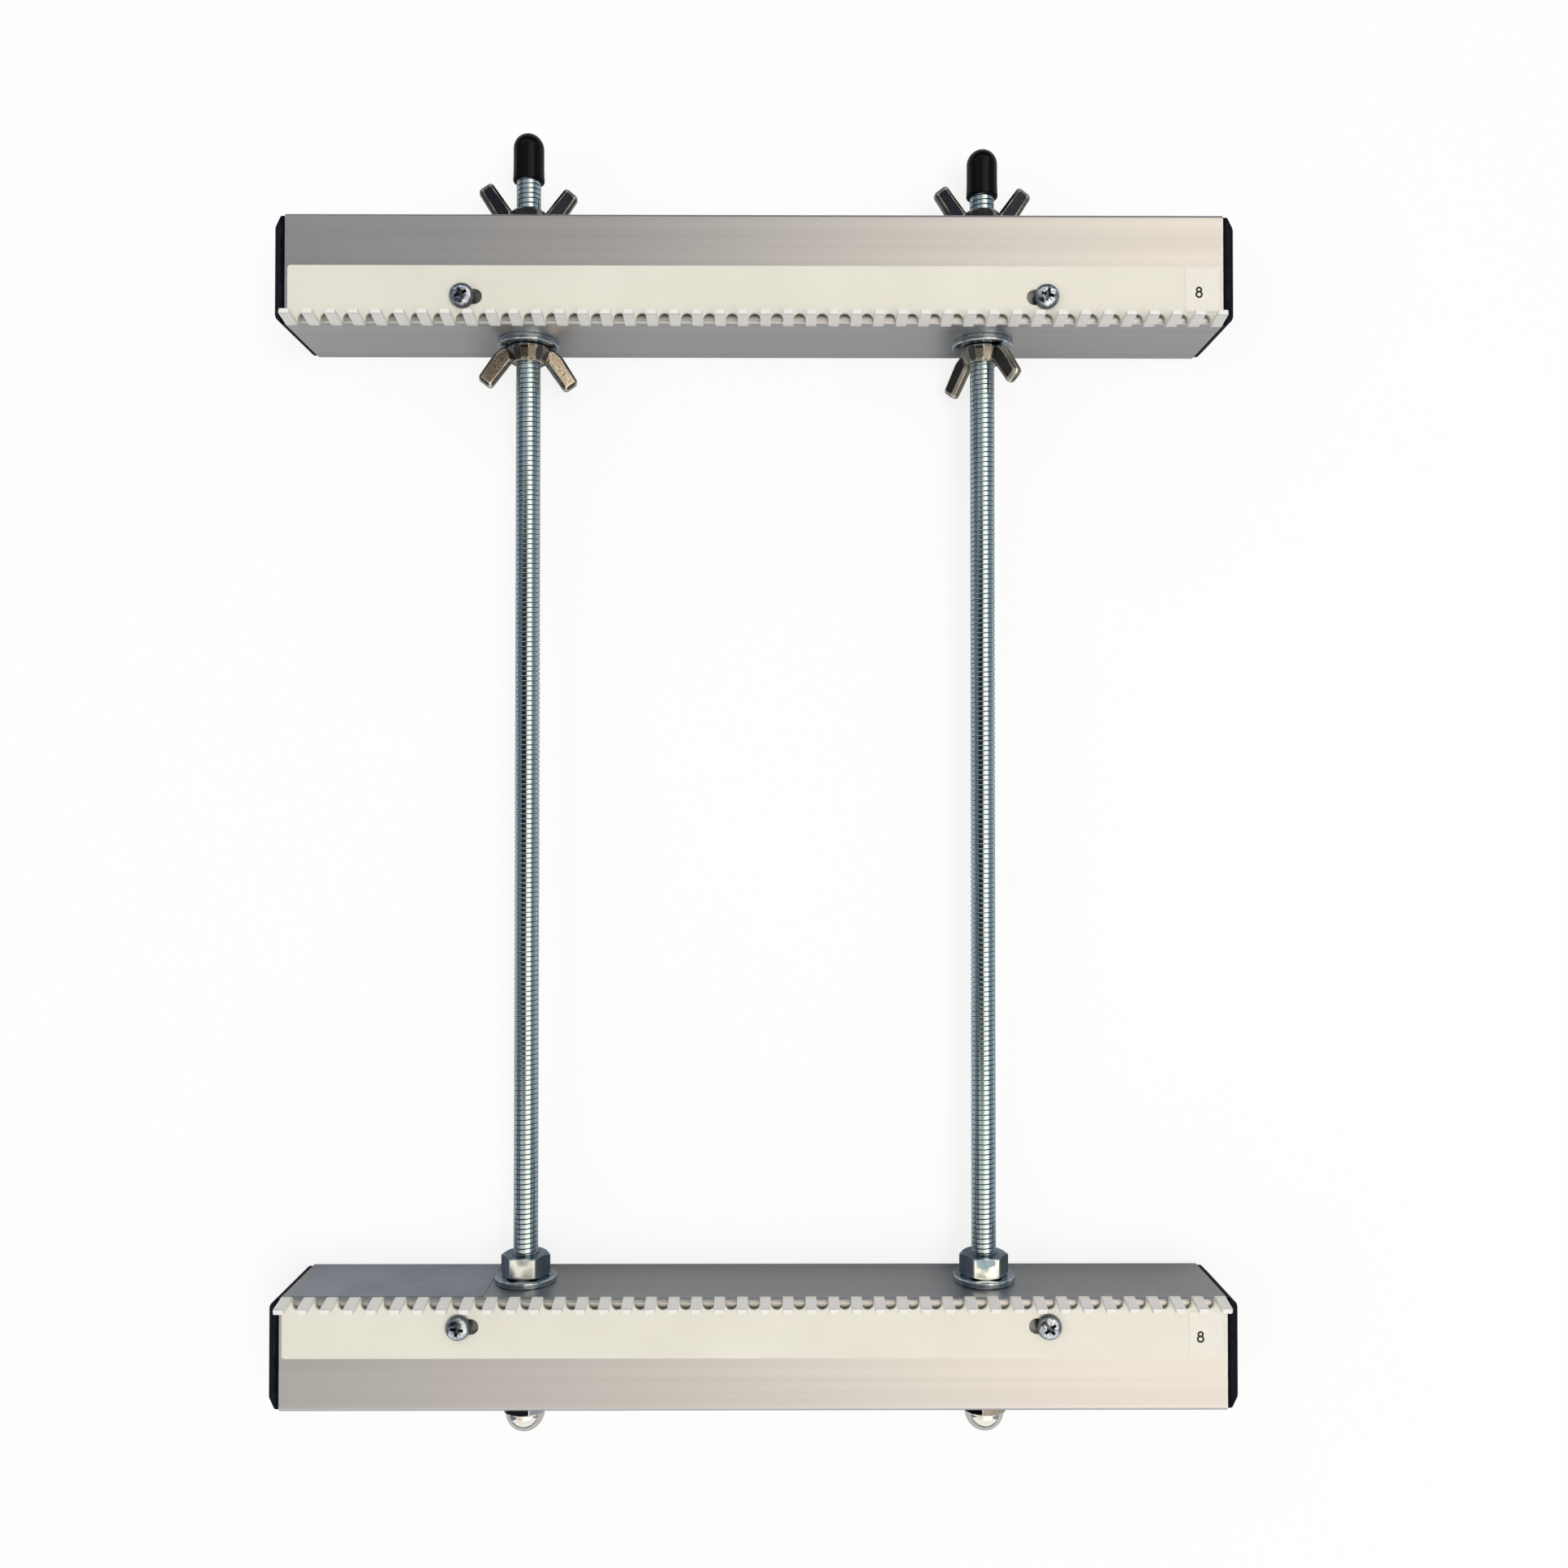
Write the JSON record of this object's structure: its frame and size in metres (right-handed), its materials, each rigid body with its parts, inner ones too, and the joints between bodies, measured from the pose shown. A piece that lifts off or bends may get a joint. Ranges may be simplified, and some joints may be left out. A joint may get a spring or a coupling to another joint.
{
  "type": "tapestry loom",
  "caption": "Adjustable frame loom of square tube bars with toothed combs, held apart by threaded rods, washers, hex nuts and wing nuts, with soft caps on the rod tips.",
  "frame": {"origin": "on the plane of the tubes' flat backs, under the middle of the whole loom from the acorn nuts to the higher tip cap", "axes": "+X along the bars to the right as seen from the front, +Y up the threaded rods to the tip caps, +Z out of the front face on which the combs sit"},
  "size_m": [0.2428, 0.3368, 0.0358],
  "materials": {
    "tube": "clear anodised square tube with a faint drawn grain along its length",
    "plug": "black moulded plastic with a soft sheen",
    "comb": "glossy ivory powder coat with slightly rounded edges",
    "comb_screw": "bright zinc plate",
    "number_label": "satin cream label film",
    "maker_label": "blank satin silver label film",
    "rod": "zinc plated rolled thread",
    "washer": "zinc plated stamping",
    "hex_nut": "bright zinc plate",
    "acorn_nut": "polished nickel plate",
    "wing_nut": "dark nickel plate over a grained casting",
    "tip_cap": "glossy black dipped vinyl"
  },
  "bodies": {
    "bottom_frame": {"bottom_bar": "tube", "bottom_plug_left": "plug", "bottom_plug_right": "plug", "bottom_comb": "comb", "bottom_comb_screw_left": "comb_screw", "bottom_comb_screw_right": "comb_screw", "bottom_number_label": "number_label", "maker_label": "maker_label", "rod_left": "rod", "rod_right": "rod", "acorn_nut_left": "acorn_nut", "acorn_nut_right": "acorn_nut", "hex_washer_left": "washer", "hex_washer_right": "washer", "hex_nut_left": "hex_nut", "hex_nut_right": "hex_nut"},
    "top_beam": {"top_bar": "tube", "top_plug_left": "plug", "top_plug_right": "plug", "top_comb": "comb", "top_comb_screw_left": "comb_screw", "top_comb_screw_right": "comb_screw", "top_number_label": "number_label", "lower_washer_left": "washer", "lower_washer_right": "washer", "upper_washer_left": "washer", "upper_washer_right": "washer"},
    "lower_nut_left": {"lower_wing_nut_left": "wing_nut"},
    "lower_nut_right": {"lower_wing_nut_right": "wing_nut"},
    "upper_nut_left": {"upper_wing_nut_left": "wing_nut"},
    "upper_nut_right": {"upper_wing_nut_right": "wing_nut"},
    "cap_left": {"tip_cap_left": "tip_cap"},
    "cap_right": {"tip_cap_right": "tip_cap"}
  },
  "joints": [
    {"name": "top_beam_slide", "type": "slide", "parent": "bottom_frame", "child": "top_beam", "axis": [0, 1, 0], "range_m": [-0.22479, 0.0036]},
    {"name": "lower_nut_left_turn", "type": "hinge", "parent": "top_beam", "child": "lower_nut_left", "pos_m": [-0.0593, 0, 0.014], "axis": [0, 1, 0], "range_deg": [-63721, 1021]},
    {"name": "lower_nut_right_turn", "type": "hinge", "parent": "top_beam", "child": "lower_nut_right", "pos_m": [0.0593, 0, 0.014], "axis": [0, 1, 0], "range_deg": [-63721, 1021]},
    {"name": "upper_nut_left_turn", "type": "hinge", "parent": "top_beam", "child": "upper_nut_left", "pos_m": [-0.0593, 0, 0.014], "axis": [0, 1, 0], "range_deg": [-63721, 1021]},
    {"name": "upper_nut_right_turn", "type": "hinge", "parent": "top_beam", "child": "upper_nut_right", "pos_m": [0.0593, 0, 0.014], "axis": [0, 1, 0], "range_deg": [-63721, 1021]},
    {"name": "cap_left_pull", "type": "slide", "parent": "bottom_frame", "child": "cap_left", "axis": [0, 1, 0], "range_m": [0, 0.0105]},
    {"name": "cap_right_pull", "type": "slide", "parent": "bottom_frame", "child": "cap_right", "axis": [0, 1, 0], "range_m": [0, 0.0105]}
  ],
  "couplings": [
    {"joint": "lower_nut_left_turn", "follows": "top_beam_slide", "rad_per_m": 4947.4},
    {"joint": "lower_nut_right_turn", "follows": "top_beam_slide", "rad_per_m": 4947.4},
    {"joint": "upper_nut_left_turn", "follows": "top_beam_slide", "rad_per_m": 4947.4},
    {"joint": "upper_nut_right_turn", "follows": "top_beam_slide", "rad_per_m": 4947.4}
  ]
}
